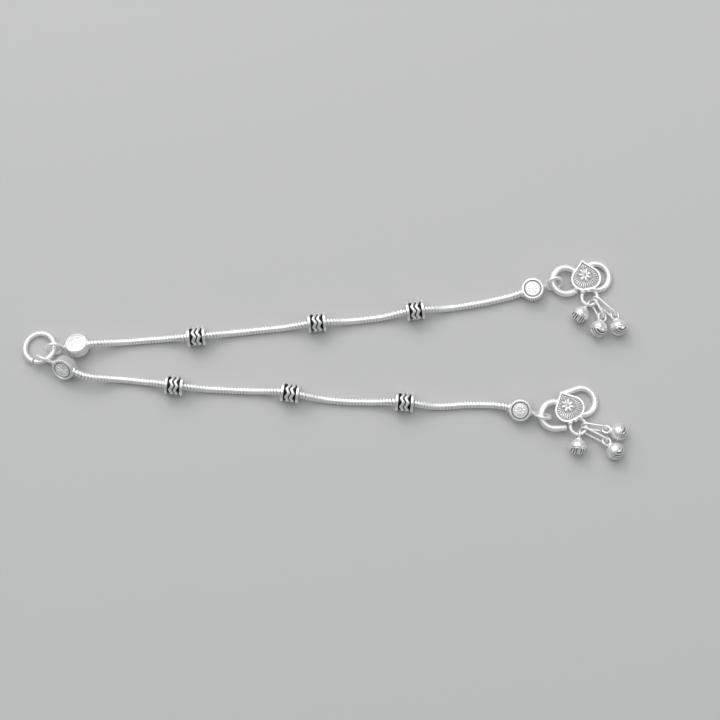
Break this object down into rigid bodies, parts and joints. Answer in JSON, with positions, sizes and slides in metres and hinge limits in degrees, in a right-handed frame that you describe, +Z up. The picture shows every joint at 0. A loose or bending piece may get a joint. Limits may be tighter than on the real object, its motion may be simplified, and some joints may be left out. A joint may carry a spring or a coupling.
{
  "type": "payal anklet",
  "caption": "Silver payal anklet lying open: snake chains with drum beads and stamped coins run from a centre ring to S hooks, each with a leaf plate and small bells.",
  "frame": {"origin": "on the surface it lies on, under the middle of the anklet's bounding box", "axes": "+X along the anklet from the centre ring to the hooks, +Y towards the upper strand, +Z up from the surface"},
  "size_m": [0.1328, 0.0444, 0.0051],
  "materials": {
    "bright_silver": "polished silver",
    "chain_silver": "silver snake chain",
    "antiqued_silver": "silver with a black antiqued ground between its ridges",
    "stamped_silver": "stamped, frosted silver with bright rims",
    "bell_silver": "polished silver"
  },
  "bodies": {
    "root": {"bell_link_lower_2": "bright_silver", "bell_link_lower_3": "bright_silver", "bell_link_upper_2": "bright_silver", "bell_link_upper_3": "bright_silver", "bell_lower_1": "bell_silver", "bell_lower_2": "bell_silver", "bell_lower_3": "bell_silver", "bell_upper_1": "bell_silver", "bell_upper_2": "bell_silver", "bell_upper_3": "bell_silver", "centre_ring": "bright_silver", "chain_lower": "chain_silver", "chain_upper": "chain_silver", "coin_lower_inner": "stamped_silver", "coin_lower_outer": "stamped_silver", "coin_upper_inner": "stamped_silver", "coin_upper_outer": "stamped_silver", "drum_lower_1": "antiqued_silver", "drum_lower_2": "antiqued_silver", "drum_lower_3": "antiqued_silver", "drum_upper_1": "antiqued_silver", "drum_upper_2": "antiqued_silver", "drum_upper_3": "antiqued_silver", "hook_lower": "bright_silver", "hook_upper": "bright_silver"}
  },
  "joints": []
}
